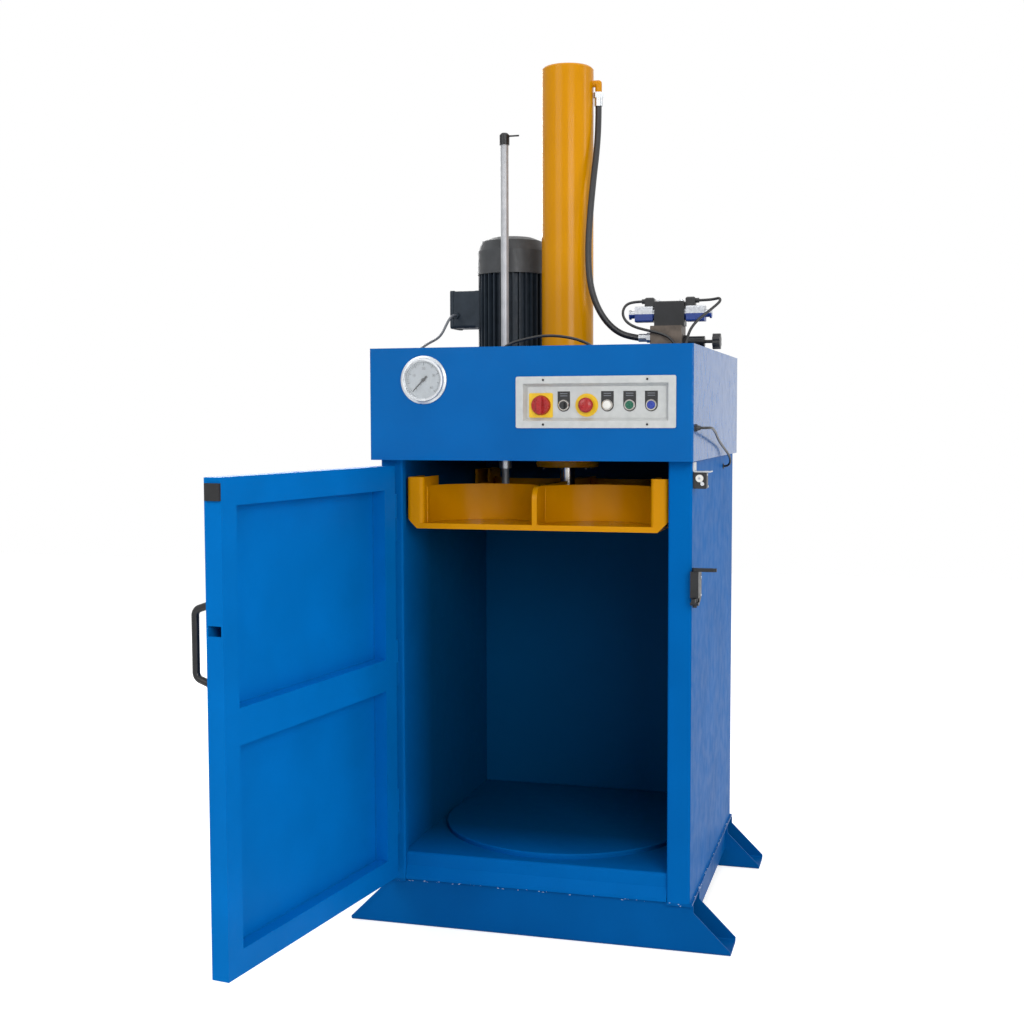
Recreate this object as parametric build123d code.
"""Drum baler: a hydraulic press that crushes a steel drum flat inside a steel chamber.

X runs left to right seen from the front, Y runs to the back, Z up, all in millimetres.
The origin is the middle of the round drum seat's top face, on the axis of the cylinder.
"""
from build123d import *
from math import hypot, radians, tan
import os

# Clearances
RUN_FIT = 0.05
SLIDE_GAP = 0.3
SHEET_GAP = 0.5

# How far a cut runs on past the face that it leaves by
CUT = 1

# Base
SKID_HEIGHT = 132
SKID_WIDTH = 122
SKID_REACH = 549
SKID_TIP_HEIGHT = 12
SKID_SHOULDER_DROP = 20
SKID_SHOULDER_OUT = 8
SKID_PLATE = 5
SKID_SETBACK = 12
BEND = 5
LEDGE_THICKNESS = 8
LEDGE_OUT = 6
BASE_PLATE = 6
BASE_PLATE_HEIGHT = 70
BEARER_COUNT = 3
BEARER_PITCH = 190

# Chamber
CHAMBER_WIDTH = 770
CHAMBER_DEPTH = 844
WALL_BOX = 55
WALL_SHEET = 4
WALL_BEND = 6
POST_WIDTH = 64
POST_RETURN = 25
WALL_TOP = 1340
FLOOR_HEIGHT = 216
FLOOR_PLATE = 6
SILL_DROP = 39
SILL_SLOPE = 29
SEAT_RADIUS = 370
SEAT_THICKNESS = 14
DECK_THICKNESS = 20

# Head
HEAD_WIDTH = 900
HEAD_HEIGHT = 308
HEAD_OVERHANG = 56
HEAD_REAR_OVERHANG = 32
HEAD_SHEET = 3
HEAD_BEND = 5
HEAD_FLANGE = 76
HEAD_LIP = 18
SWITCH_ROOM_DEPTH = 170
SWITCH_ROOM_HEIGHT = 270

# Cylinder, rod and platen
STROKE = 800
BORE_RADIUS = 62.5
TUBE_RADIUS = 77.5
TUBE_TOP = 2490
TUBE_CAP = 30
TUBE_FLANGE_RADIUS = 105
TUBE_FLANGE = 20
PORT_DROP = 50
PORT_RADIUS = 10
PORT_REACH = 94
PORT_ELBOW_DROP = 26
GLAND_RADIUS = 95
GLAND_THICKNESS = 35
GLAND_SPIGOT = 55
ROD_RADIUS = 22.5
ROD_END_RADIUS = 16
PISTON_LENGTH = 60
PISTON_REST_GAP = 10
PLATEN_HEIGHT = 1145
PLATEN_HALF_WIDTH = 373
PLATEN_HALF_DEPTH = 398
PLATEN_PLATE = 15
PLATEN_CHAMFER = 30
SHOE_WIDTH = 50
SHOE_DEPTH = 135
SHOE_TOP = 1290
SHOE_PLATE = 8
RIB_THICKNESS = 14
RIB_TOP = 1266
RIB_NOSE_RADIUS = 38
CROSS_WALL_TOP = 1250
CROSS_WALL = 12
BAY_WALL_TOP = 1264
BAY_SHOE_Y = -365
BAY_MIDDLE_Y = -190
BAY_RIB_Y = -300
HUB_RADIUS = 37
HUB_SOCKET_DEPTH = 60

# Guide rod
GUIDE_X = -187
GUIDE_Y = -30
GUIDE_RADIUS = 12
GUIDE_TOP = 2292
GUIDE_BOSS_RADIUS = 20
GUIDE_BOSS_HEIGHT = 34
BUSH_RADIUS = 20
BUSH_FLANGE_RADIUS = 30
BUSH_FLANGE = 10
BUSH_LENGTH = 70
STOP_RADIUS = 15
STOP_SKIRT = 21
STOP_CROWN = 14
STOP_EDGE = 6
STOP_PIN_RADIUS = 2.5
STOP_PIN_LENGTH = 30

# Door
DOOR_WIDTH = 822
DOOR_THICKNESS = 46
DOOR_BOTTOM = 156
DOOR_TOP = 1323
DOOR_SHEET = 4
DOOR_OPEN_ANGLE = 98
DOOR_RAIL = 60
DOOR_TOP_RAIL = 66
DOOR_MID_RAIL = 88
DOOR_MID_HEIGHT = 742
DOOR_RECESS = 38
HINGE_X = -399
HINGE_STANDOFF = 18
HINGE_RADIUS = 11
HINGE_STRAP = 13
HINGE_LENGTH = 130
HINGE_PIN_RADIUS = 6
HINGE_HEIGHTS = (339, 768, 1178)
HINGE_EDGE_GAP = 12
HINGE_TO_INNER_FACE = 14
HANDLE_LENGTH = 190
HANDLE_STANDOFF = 48
HANDLE_BAR = 9
HANDLE_EDGE = 25
HANDLE_SLANT = 16
HANDLE_HEIGHT = 936
STRIKER_SIZE = 40
STRIKER_THICKNESS = 8
STRIKER_DROP = 33
SLOT_HEIGHT = 24
SLOT_WIDTH = 36
SLOT_DEPTH = 30

# Latch on the right wall
LATCH_HEIGHT = 1000
LATCH_THICKNESS = 22
LATCH_BODY_HEIGHT = 96
LATCH_BODY_DEPTH = 60
LATCH_AXIS_FORWARD = 18
LATCH_SHAFT_RADIUS = 6
LATCH_TONGUE = 30
LATCH_TONGUE_DROP = 28
LATCH_TONGUE_THICKNESS = 10
LATCH_HANDLE_LENGTH = 50
LATCH_HANDLE_THICKNESS = 9
LATCH_HUB_RADIUS = 8

# Limit switch on the right wall
LIMIT_DROP = 52
LIMIT_SIZE = 44
LIMIT_WIDTH = 36
LIMIT_DEPTH = 30
LIMIT_BACK = 12
BRACKET_SHEET = 3
BRACKET_REACH = 47
BRACKET_DEPTH = 48
BRACKET_LEG = 26
ROLLER_RADIUS = 10
ROLLER_WIDTH = 7
LIMIT_ARM = 15
LIMIT_ARM_LEAN = 6.75
LIMIT_SHAFT_OUT = 25.2
LIMIT_SHAFT_UP = 13.2
ARM_THICKNESS = 3
ARM_EYE_RADIUS = 5
SHAFT_PIN = 3

# Power pack
TANK_FRONT_Y = 4
TANK_SIDE_GAP = 2
TANK_BACK_GAP = 33
TANK_TUBE_GAP = 3
TANK_HEIGHT = 267
TANK_SHEET = 4
TANK_HOLE_RADIUS = 75
MOTOR_X = -203
MOTOR_Y = 110
MOTOR_CORE_RADIUS = 90
MOTOR_RADIUS = 105
MOTOR_LENGTH = 268
MOTOR_FLANGE = 14
MOTOR_BORE_RADIUS = 55
END_SHIELD = 24
FIN_COUNT = 32
FIN_THICKNESS = 4
FIN_ROOT = 2
ROTOR_LENGTH = 150
SHAFT_RADIUS = 12
SHAFT_END_GAP = 1
SHAFT_TOP = 56
COWL_LENGTH = 113
COWL_SHEET = 2.5
COWL_SHOULDER = 42
COWL_SHOULDER_BREAK = 12
COWL_SLOTS = 20
COWL_SLOT_SPAN = (21, 59)
COWL_SLOT_WIDTH = 4
FAN_RADIUS = 88
FAN_BLADES = 8
FAN_HEIGHT = 36
FAN_HUB_RADIUS = 24
FAN_SHEET = 3
FAN_GAP = 8
TERMINAL_BOX = (82, 100, 114)
TERMINAL_RISE = 163
TERMINAL_LID = 10
TERMINAL_LIP = 2
TERMINAL_CORNER = 8
TERMINAL_GLAND_OUT = 61.5
TERMINAL_GLAND_DROP = 19
TERMINAL_GLAND_RADIUS = 9.6
PUMP_BELL_RADIUS = 68
PUMP_BELL_LENGTH = 70
PUMP_SIZE = (90, 70, 95)

# Valve stack
VALVE_Y = -25
MANIFOLD_X = (262, 354)
MANIFOLD_HALF_DEPTH = 42
MANIFOLD_TOP = 1722
MANIFOLD_HEIGHT = 75
PEDESTAL = 60
PEDESTAL_WALL = 4
VALVE_X = (271, 359)
VALVE_HALF_DEPTH = 25
VALVE_HEIGHT = 72
COIL_LENGTH = 58
COIL_SIZE = 45
COIL_DROP = 14
COIL_RIM = 5
CAP_RADIUS = 11
CAP_LENGTH = 14
PLUG_SIZE = (28, 28, 26)
PLUG_INSET = 16
RELIEF_HEIGHT = 1676
RELIEF_RADIUS = 16
RELIEF_LENGTH = 62
RELIEF_STEM_RADIUS = 5
RELIEF_STEM_LENGTH = 24
KNOB_RADIUS = 23
KNOB_THICKNESS = 22

# Hoses and cables
HOSE_RADIUS = 9.5
HOSE_PORT_HEIGHT = 1690
FERRULE_RADIUS = 12
FERRULE_LENGTH = 40
CABLE_RADIUS = 4
LEAD_RADIUS = 4
SIDE_CABLE_RADIUS = 3.5
GLAND_NECK = 10
GLAND_HEIGHT = 1428
GLAND_FORWARD = 32
GLAND_STEM = 6
GLAND_HEX = 9
GLAND_LENGTH = 16

# Pressure gauge
GAUGE_X = -291
GAUGE_HEIGHT = 1560
GAUGE_RADIUS = 66
GAUGE_BEZEL = 14
GAUGE_CAN_RADIUS = 45
GAUGE_CAN_DEPTH = 34
GAUGE_DIAL_RADIUS = 54
GAUGE_DIAL_DEPTH = 9
GLASS_THICKNESS = 2
NEEDLE_LENGTH = 42
NEEDLE_ZERO_ANGLE = 225
NEEDLE_POST = 8
NEEDLE_SHAFT = 2

# Control panel
PANEL_X = 188
PANEL_HEIGHT = 1497
PANEL_SIZE = (434, 138)
PANEL_PROUD = 4
PANEL_OPENING = (394, 100)
PANEL_FLOOR = (378, 84)
PANEL_DEPTH = 18
PANEL_SHEET = 2.5
CONTROL_HEIGHT = 1489
MAIN_SWITCH_X = 37
MAIN_PLATE = 66
MAIN_KNOB_RADIUS = 27
SELECTOR_X = 100
STOP_X = 163
STOP_PLATE_RADIUS = 31
MUSHROOM_RADIUS = 20
BUTTON_XS = (219, 279, 337)
BUTTON_RADIUS = 11
BUTTON_TRAVEL = 4
STOP_TRAVEL = 5
BEZEL_RADIUS = 15
BEZEL_HEIGHT = 6
COVER_PLATE = 2

SEAT_HEIGHT = FLOOR_HEIGHT + SEAT_THICKNESS
GROUND = -SEAT_HEIGHT
CHAMBER_HALF = CHAMBER_WIDTH / 2
CABINET_HALF = CHAMBER_HALF + WALL_BOX
POST_INNER = CABINET_HALF - POST_WIDTH
FRONT = -CHAMBER_DEPTH / 2
INNER_BACK = CHAMBER_DEPTH / 2
BACK = INNER_BACK + WALL_BOX
HEAD_FRONT = FRONT - HEAD_OVERHANG
HEAD_BACK = BACK + HEAD_REAR_OVERHANG
HEAD_HALF = HEAD_WIDTH / 2
TANK_X = (-HEAD_HALF + HEAD_FLANGE + TANK_SIDE_GAP, -TUBE_FLANGE_RADIUS - TANK_TUBE_GAP)
TANK_Y = (TANK_FRONT_Y, HEAD_BACK - HEAD_FLANGE - TANK_BACK_GAP)


def up(height):
    """Level of a height that is measured from the ground."""
    return GROUND + height


WALL_FOOT = up(SKID_HEIGHT + LEDGE_THICKNESS)
HEAD_FOOT = up(WALL_TOP)
DECK_BOTTOM = HEAD_FOOT + HEAD_SHEET
DECK_TOP = DECK_BOTTOM + DECK_THICKNESS
HEAD_TOP = HEAD_FOOT + HEAD_HEIGHT
TANK_TOP = DECK_TOP + TANK_HEIGHT
MOTOR_TOP = TANK_TOP + MOTOR_LENGTH
TERMINAL_LEVEL = TANK_TOP + TERMINAL_RISE
PLATEN_BOTTOM = up(PLATEN_HEIGHT)
PLATEN_DECK = PLATEN_BOTTOM + PLATEN_PLATE
HUB_TOP = up(CROSS_WALL_TOP)
PISTON_TOP = up(TUBE_TOP) - TUBE_CAP - PISTON_REST_GAP
PISTON_BOTTOM = PISTON_TOP - PISTON_LENGTH
PANEL_FACE = HEAD_FRONT - PANEL_PROUD
PANEL_FLOOR_Y = PANEL_FACE + PANEL_DEPTH
DOOR_PIVOT = (HINGE_X, FRONT - HINGE_STANDOFF)
DOOR_INNER = DOOR_PIVOT[1] + HINGE_TO_INNER_FACE
DOOR_OUTER = DOOR_INNER - DOOR_THICKNESS
DOOR_EDGE = (HINGE_X + HINGE_EDGE_GAP, HINGE_X + HINGE_EDGE_GAP + DOOR_WIDTH)
SHELF_TOP = HEAD_FOOT + SWITCH_ROOM_HEIGHT
PARTITION_Y = HEAD_FRONT + SWITCH_ROOM_DEPTH
GLAND_Y = FRONT - GLAND_FORWARD


def block(x, y, z):
    """Block between the two limits given on each axis."""
    size = Box(x[1] - x[0], y[1] - y[0], z[1] - z[0])
    return Pos((x[0] + x[1]) / 2, (y[0] + y[1]) / 2, (z[0] + z[1]) / 2) * size


def bar(x, y, z, radius):
    """Upright round bar between two levels."""
    return Pos(x, y, (z[0] + z[1]) / 2) * Cylinder(radius, z[1] - z[0])


def bar_x(x, y, z, radius):
    """Round bar along X."""
    return Pos((x[0] + x[1]) / 2, y, z) * Rot(0, 90, 0) * Cylinder(radius, x[1] - x[0])


def bar_y(x, y, z, radius):
    """Round bar along Y."""
    return Pos(x, (y[0] + y[1]) / 2, z) * Rot(90, 0, 0) * Cylinder(radius, y[1] - y[0])


def upright(face, z):
    """Plan section drawn in X and Y, extruded between two levels."""
    return Pos(0, 0, z[0]) * extrude(face, z[1] - z[0])


def along_x(face, x):
    """Section drawn in Y and Z, extruded from left to right."""
    return Pos(x[0], 0, 0) * extrude(Plane.YZ * face, x[1] - x[0])


def along_y(face, y):
    """Section drawn in X and Z, extruded from front to back."""
    return Pos(0, y[1], 0) * extrude(Plane.XZ * face, y[1] - y[0])


def outline(points):
    """Flat face inside a closed line of corners."""
    return make_face(Polyline(*points, close=True))


def turned(points):
    """Solid turned about Z from corners given as radius and level."""
    return revolve(Plane.XZ * outline(points), Axis.Z)


def facing_front(shape, x, y, z):
    """Put a shape that was turned about Z on a front face, its top towards the front."""
    return Pos(x, y, z) * Rot(90, 0, 0) * shape


def rounded(face, corners, radius):
    """Round the named corners of a flat face."""
    picked = [face.vertices().sort_by_distance(Vector(*corner, 0))[0] for corner in corners]
    return fillet(picked, radius)


def folded(points, thickness, bend):
    """Section of a folded sheet: the line is its outer face, and the sheet lies to its left."""
    count = len(points)
    directions = [Vector(*points[i + 1]) - Vector(*points[i]) for i in range(count - 1)]
    directions = [d.normalized() for d in directions]
    inner = []
    for i in range(count):
        before = directions[max(i - 1, 0)]
        after = directions[min(i, count - 2)]
        normal = Vector(-before.Y - after.Y, before.X + after.X)
        normal = normal.normalized()
        reach = thickness / (normal.X * -before.Y + normal.Y * before.X)
        inner.append((points[i][0] + normal.X * reach, points[i][1] + normal.Y * reach))
    face = outline([*points, *reversed(inner)])
    for i in range(1, count - 1):
        left_turn = directions[i - 1].cross(directions[i]).Z > 0
        face = rounded(face, [points[i]], bend + thickness if left_turn else bend)
        face = rounded(face, [inner[i]], bend if left_turn else bend + thickness)
    return face


def tube(points, radius):
    """Round cord along straight runs joined by arcs as large as the runs allow."""
    runs = [Vector(*b) - Vector(*a) for a, b in zip(points, points[1:])]
    radii = []
    for first, second in zip(runs, runs[1:]):
        half_turn = radians(first.get_angle(second)) / 2
        radii.append(0.45 * min(first.length, second.length) / tan(half_turn))
    path = FilletPolyline(*points, radius=radii)
    print("arc radii", [round(r) for r in radii], "length", round(path.length))
    section = Plane(origin=points[0], z_dir=runs[0]) * Circle(radius)
    return sweep(section, path=path)


# Base

def skid(y):
    """Folded channel, open on top, with ends cut on a slant like a sledge runner."""
    top = up(SKID_HEIGHT)
    corners = [(y[0], top), (y[0], GROUND), (y[1], GROUND), (y[1], top)]
    channel = along_x(folded(corners, SKID_PLATE, BEND), (-SKID_REACH, SKID_REACH))
    shoulder = CABINET_HALF + SKID_SHOULDER_OUT
    right = [
        (SKID_REACH, GROUND),
        (SKID_REACH, up(SKID_TIP_HEIGHT)),
        (shoulder, top - SKID_SHOULDER_DROP),
        (shoulder, top),
    ]
    left = [(-x, z) for x, z in reversed(right)]
    return channel & along_y(outline(right + left), y)


SKID_FRONT = FRONT + SKID_SETBACK
FRONT_SKID_Y = (SKID_FRONT, SKID_FRONT + SKID_WIDTH)
REAR_SKID_Y = (BACK - SKID_WIDTH, BACK)


def base_frame():
    """Ledges under the walls, side plates between the skids and bearers under the floor."""
    skid_top = up(SKID_HEIGHT)
    plate_bottom = skid_top - BASE_PLATE_HEIGHT
    between = (FRONT_SKID_Y[1], REAR_SKID_Y[0])
    ledge_outer = CABINET_HALF + LEDGE_OUT
    frame = block((-POST_INNER, POST_INNER), (INNER_BACK, BACK), (skid_top, WALL_FOOT))
    frame += block((-POST_INNER, POST_INNER), (SKID_FRONT, FRONT_SKID_Y[1]), (skid_top, WALL_FOOT))
    plate_outer = CABINET_HALF
    for side in (-1, 1):
        ledge = sorted((side * POST_INNER, side * ledge_outer))
        plate = sorted((side * (plate_outer - BASE_PLATE), side * plate_outer))
        frame += block(ledge, (FRONT, BACK + LEDGE_OUT), (skid_top, WALL_FOOT))
        frame += block(plate, between, (plate_bottom, skid_top))
    floor_bottom = up(FLOOR_HEIGHT) - FLOOR_PLATE
    wide = plate_outer - BASE_PLATE
    half = [(wide, plate_bottom), (wide, skid_top), (POST_INNER - BEND, skid_top)]
    half.append((POST_INNER - BEND, floor_bottom))
    bearer = outline(half + [(-x, z) for x, z in reversed(half)])
    for i in range(BEARER_COUNT):
        middle = (i - (BEARER_COUNT - 1) / 2) * BEARER_PITCH
        frame += along_y(bearer, (middle - BASE_PLATE / 2, middle + BASE_PLATE / 2))
    return frame


def floor_plate():
    """Floor sheet folded down at the front into the sill, whose lower part slopes forward."""
    top = up(FLOOR_HEIGHT)
    path = [
        (INNER_BACK - SHEET_GAP, top),
        (FRONT + SKID_SETBACK, top),
        (FRONT + SKID_SETBACK, top - SILL_DROP),
        (FRONT, top - SILL_DROP - SILL_SLOPE),
        (FRONT, WALL_FOOT),
    ]
    sheet = along_x(folded(path, FLOOR_PLATE, FLOOR_PLATE / 3), (-CHAMBER_HALF, CHAMBER_HALF))
    post_clear = POST_INNER - SHEET_GAP
    for side in (-1, 1):
        x = sorted((side * post_clear, side * (CHAMBER_HALF + CUT)))
        sheet -= block(x, (FRONT - CUT, FRONT + POST_RETURN + SHEET_GAP), (WALL_FOOT - CUT, top + CUT))
        x = sorted((side * (CHAMBER_HALF - SHEET_GAP), side * (CHAMBER_HALF + CUT)))
        sheet -= block(x, (FRONT, INNER_BACK), (WALL_FOOT - CUT, top + CUT))
    return sheet


def drum_seat():
    """Thick round plate that carries the drum."""
    edge = 3
    return turned([
        (0, -SEAT_THICKNESS),
        (SEAT_RADIUS, -SEAT_THICKNESS),
        (SEAT_RADIUS, -edge),
        (SEAT_RADIUS - edge, 0),
        (0, 0),
    ])


# Cabinet

def hollow_wall(corners, front_corners):
    """Folded box wall: closed hollow section standing from the ledge to the head."""
    face = outline(corners)
    hollow = offset(face, -WALL_SHEET, kind=Kind.INTERSECTION)
    if front_corners:
        face = rounded(face, front_corners, WALL_BEND)
    return upright(face - hollow, (WALL_FOOT, HEAD_FOOT))


def right_side_wall():
    """Side wall whose front fold is the wider door post."""
    front_corners = [(POST_INNER, FRONT), (CABINET_HALF, FRONT)]
    corners = [
        *front_corners,
        (CABINET_HALF, BACK),
        (CHAMBER_HALF, BACK),
        (CHAMBER_HALF, FRONT + POST_RETURN),
        (POST_INNER, FRONT + POST_RETURN),
    ]
    return hollow_wall(corners, front_corners)


def rear_wall():
    """Box wall between the two side walls."""
    corners = [
        (-CHAMBER_HALF, INNER_BACK),
        (CHAMBER_HALF, INNER_BACK),
        (CHAMBER_HALF, BACK),
        (-CHAMBER_HALF, BACK),
    ]
    return hollow_wall(corners, [])


def deck_plate():
    """Thick plate on the head's foot flange that takes the cylinder's force."""
    plate = block((-CABINET_HALF, CABINET_HALF), (FRONT, BACK), (DECK_BOTTOM, DECK_TOP))
    plate -= bar(0, 0, (DECK_BOTTOM, DECK_TOP), BORE_RADIUS)
    return plate - bar(GUIDE_X, GUIDE_Y, (DECK_BOTTOM, DECK_TOP), BUSH_RADIUS)


def frame_ring(x, y, z, width):
    """Flat rectangular ring with square corners, its width measured inwards."""
    ring = block(x, y, z)
    return ring - block((x[0] + width, x[1] - width), (y[0] + width, y[1] - width), z)


def head_shell():
    """Folded ring round the equipment, with a foot flange, a top lip and the switch room."""
    x = (-HEAD_HALF, HEAD_HALF)
    y = (HEAD_FRONT, HEAD_BACK)
    corners = [(x[0], y[0]), (x[1], y[0]), (x[1], y[1]), (x[0], y[1])]
    plan = rounded(outline(corners), corners, HEAD_BEND)
    inside = offset(outline(corners), -HEAD_SHEET, kind=Kind.INTERSECTION)
    inner_x = (x[0] + HEAD_SHEET, x[1] - HEAD_SHEET)
    inner_y = (y[0] + HEAD_SHEET, y[1] - HEAD_SHEET)
    shell = upright(plan - inside, (HEAD_FOOT, HEAD_TOP))
    shell += frame_ring(inner_x, inner_y, (HEAD_FOOT, DECK_BOTTOM), HEAD_FLANGE - HEAD_SHEET)
    shell += frame_ring(inner_x, inner_y, (HEAD_TOP - HEAD_SHEET, HEAD_TOP), HEAD_LIP)
    partition = (PARTITION_Y - HEAD_SHEET, PARTITION_Y)
    shell += block(inner_x, partition, (DECK_TOP, SHELF_TOP))
    shell += block(inner_x, (inner_y[0], PARTITION_Y), (SHELF_TOP - HEAD_SHEET, SHELF_TOP))
    wall = (HEAD_FRONT - CUT, HEAD_FRONT + HEAD_SHEET + CUT)
    window_x = PANEL_OPENING[0] / 2 + PANEL_SHEET + SHEET_GAP
    window_z = PANEL_OPENING[1] / 2 + PANEL_SHEET + SHEET_GAP
    middle = up(PANEL_HEIGHT)
    shell -= block((PANEL_X - window_x, PANEL_X + window_x), wall, (middle - window_z, middle + window_z))
    shell -= bar_y(GAUGE_X, wall, up(GAUGE_HEIGHT), GAUGE_CAN_RADIUS + SHEET_GAP)
    gland_x = (HEAD_HALF - HEAD_SHEET - CUT, HEAD_HALF + CUT)
    return shell - bar_x(gland_x, GLAND_Y, up(GLAND_HEIGHT), GLAND_STEM)


# Cylinder and ram

def cylinder_tube():
    """Welded barrel with closed top, foot flange and the elbow of the upper port."""
    top = up(TUBE_TOP)
    edge = 6
    flange_top = DECK_TOP + TUBE_FLANGE
    barrel = turned([
        (0, top),
        (TUBE_RADIUS - edge, top),
        (TUBE_RADIUS, top - edge),
        (TUBE_RADIUS, flange_top),
        (TUBE_FLANGE_RADIUS, flange_top),
        (TUBE_FLANGE_RADIUS, DECK_TOP),
        (BORE_RADIUS, DECK_TOP),
        (BORE_RADIUS, top - TUBE_CAP),
        (0, top - TUBE_CAP),
    ])
    port = top - PORT_DROP
    elbow = bar_x((TUBE_RADIUS - edge, PORT_REACH), 0, port, PORT_RADIUS)
    elbow += Pos(PORT_REACH, 0, port) * Sphere(PORT_RADIUS)
    elbow += bar(PORT_REACH, 0, (port - PORT_ELBOW_DROP, port), PORT_RADIUS)
    lower_boss = bar_x((TUBE_RADIUS - edge, PORT_REACH), 0, flange_top + PORT_DROP, PORT_RADIUS * 1.6)
    barrel += elbow
    barrel += lower_boss
    return barrel - bar(0, 0, (DECK_TOP, top - TUBE_CAP), BORE_RADIUS)


def cylinder_gland():
    """Rod guide: flange under the deck and spigot up into the barrel."""
    inner = ROD_RADIUS + RUN_FIT
    spigot = BORE_RADIUS - SLIDE_GAP
    flange_bottom = DECK_BOTTOM - GLAND_THICKNESS
    edge = 3
    return turned([
        (inner, flange_bottom),
        (GLAND_RADIUS - edge, flange_bottom),
        (GLAND_RADIUS, flange_bottom + edge),
        (GLAND_RADIUS, DECK_BOTTOM),
        (spigot, DECK_BOTTOM),
        (spigot, DECK_TOP + GLAND_SPIGOT),
        (inner, DECK_TOP + GLAND_SPIGOT),
    ])


def piston_rod():
    """Ram with a stepped end at the piston and a stepped end in the platen's hub."""
    foot = HUB_TOP - HUB_SOCKET_DEPTH
    return turned([
        (0, foot),
        (ROD_END_RADIUS, foot),
        (ROD_END_RADIUS, HUB_TOP),
        (ROD_RADIUS, HUB_TOP),
        (ROD_RADIUS, PISTON_BOTTOM),
        (ROD_END_RADIUS, PISTON_BOTTOM),
        (ROD_END_RADIUS, PISTON_TOP),
        (0, PISTON_TOP),
    ])


def piston():
    """Piston with two shallow seal lands."""
    edge = 2
    outer = BORE_RADIUS - RUN_FIT
    return turned([
        (ROD_END_RADIUS, PISTON_BOTTOM),
        (outer - edge, PISTON_BOTTOM),
        (outer, PISTON_BOTTOM + edge),
        (outer, PISTON_TOP - edge),
        (outer - edge, PISTON_TOP),
        (ROD_END_RADIUS, PISTON_TOP),
    ])


def guide_shoe():
    """Folded channel at the front right corner of the platen, open to the back."""
    outer = PLATEN_HALF_WIDTH
    front = -PLATEN_HALF_DEPTH
    path = [
        (outer - SHOE_WIDTH, front + SHOE_DEPTH),
        (outer - SHOE_WIDTH, front),
        (outer, front),
        (outer, front + SHOE_DEPTH),
    ]
    return upright(folded(path, SHOE_PLATE, BEND), (PLATEN_DECK, up(SHOE_TOP)))


def bay_wall():
    """Curved sheet from the front right shoe to the rib, bowed towards the hub."""
    ends = [
        (RIB_THICKNESS / 2, BAY_RIB_Y),
        ((PLATEN_HALF_WIDTH - SHOE_WIDTH) / 2, BAY_MIDDLE_Y),
        (PLATEN_HALF_WIDTH - SHOE_WIDTH, BAY_SHOE_Y),
    ]
    back = [(x, y + SHOE_PLATE) for x, y in ends]
    line = ThreePointArc(*ends) + Line(ends[2], back[2]) + ThreePointArc(*reversed(back)) + Line(back[0], ends[0])
    return upright(make_face(line), (PLATEN_DECK, up(BAY_WALL_TOP)))


def platen():
    """Welded press plate: plate, corner shoes, curved bay walls, side walls, cross wall, rib, hub."""
    half_x, half_y = PLATEN_HALF_WIDTH, PLATEN_HALF_DEPTH
    body = block((-half_x, half_x), (-half_y, half_y), (PLATEN_BOTTOM, PLATEN_DECK))
    for quarter in (guide_shoe(), bay_wall()):
        for piece in (quarter, mirror(quarter, Plane.YZ)):
            body += piece
            body += mirror(piece, Plane.XZ)
    wall_top = up(CROSS_WALL_TOP)
    side = half_x - SHOE_WIDTH
    side_y = half_y - SHOE_DEPTH
    for sign in (-1, 1):
        x = sorted((sign * side, sign * (side + SHOE_PLATE)))
        body += block(x, (-side_y, side_y), (PLATEN_DECK, wall_top))
    body += block((-side, side), (-CROSS_WALL / 2, CROSS_WALL / 2), (PLATEN_DECK, wall_top))
    rib_top = up(RIB_TOP)
    rib = outline([(-half_y, PLATEN_DECK), (half_y, PLATEN_DECK), (half_y, rib_top), (-half_y, rib_top)])
    rib = rounded(rib, [(-half_y, rib_top), (half_y, rib_top)], RIB_NOSE_RADIUS)
    body += along_x(rib, (-RIB_THICKNESS / 2, RIB_THICKNESS / 2))
    body += bar(0, 0, (PLATEN_DECK, HUB_TOP), HUB_RADIUS)
    body -= bar(0, 0, (HUB_TOP, up(SHOE_TOP)), HUB_RADIUS)
    boss = (PLATEN_DECK, PLATEN_DECK + GUIDE_BOSS_HEIGHT)
    body += bar(GUIDE_X, GUIDE_Y, boss, GUIDE_BOSS_RADIUS)
    body -= bar(GUIDE_X, GUIDE_Y, boss, GUIDE_RADIUS)
    body -= bar(0, 0, (HUB_TOP - HUB_SOCKET_DEPTH, HUB_TOP), ROD_END_RADIUS)
    lower_edge = [
        (half_x - PLATEN_CHAMFER, PLATEN_BOTTOM),
        (half_x, PLATEN_BOTTOM),
        (half_x, PLATEN_BOTTOM + PLATEN_CHAMFER),
    ]
    wedge = along_y(outline(lower_edge), (-half_y, half_y))
    return body - wedge - mirror(wedge, Plane.YZ)


def guide_rod():
    """Slim bar that rises and falls with the platen and keeps it from turning."""
    return bar(GUIDE_X, GUIDE_Y, (PLATEN_DECK, up(GUIDE_TOP)), GUIDE_RADIUS)


def guide_bush():
    """Flanged bush that leads the guide rod through the deck."""
    inner = GUIDE_RADIUS + RUN_FIT
    outer = BUSH_RADIUS - SLIDE_GAP
    bush = turned([
        (inner, DECK_TOP + BUSH_FLANGE - BUSH_LENGTH),
        (outer, DECK_TOP + BUSH_FLANGE - BUSH_LENGTH),
        (outer, DECK_TOP),
        (BUSH_FLANGE_RADIUS, DECK_TOP),
        (BUSH_FLANGE_RADIUS, DECK_TOP + BUSH_FLANGE),
        (inner, DECK_TOP + BUSH_FLANGE),
    ])
    return Pos(GUIDE_X, GUIDE_Y, 0) * bush


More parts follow.
